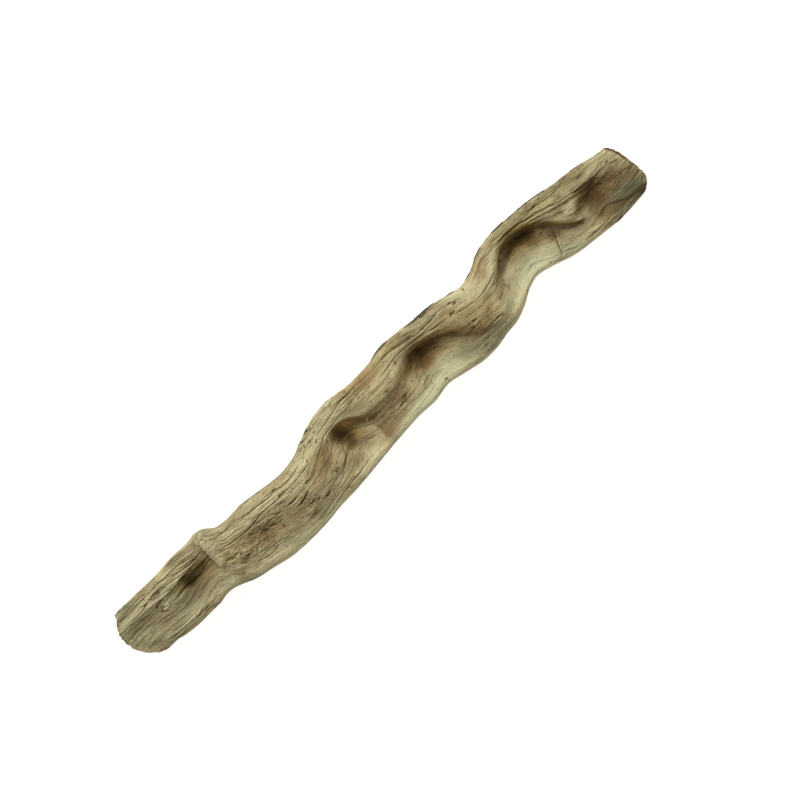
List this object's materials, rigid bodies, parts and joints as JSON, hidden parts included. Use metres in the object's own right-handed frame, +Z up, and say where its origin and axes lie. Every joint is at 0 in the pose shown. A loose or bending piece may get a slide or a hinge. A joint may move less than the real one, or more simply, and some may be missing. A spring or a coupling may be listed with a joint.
{
  "type": "liana vine",
  "caption": "Cut length of debarked liana stem: a flattened woody ribbon with thick rims that winds in waves around deep hollows, lying on a surface.",
  "frame": {"origin": "on the resting plane, under the middle of the bounding box", "axes": "+X along the stem toward its squarer, darker cut end, +Y across the stem toward the rim that stands high beside the hollows, +Z up"},
  "size_m": [0.5, 0.0654, 0.0305],
  "materials": {
    "bare_wood": "dry, debarked and weathered"
  },
  "bodies": {
    "root": {"vine": "bare_wood"}
  },
  "joints": []
}
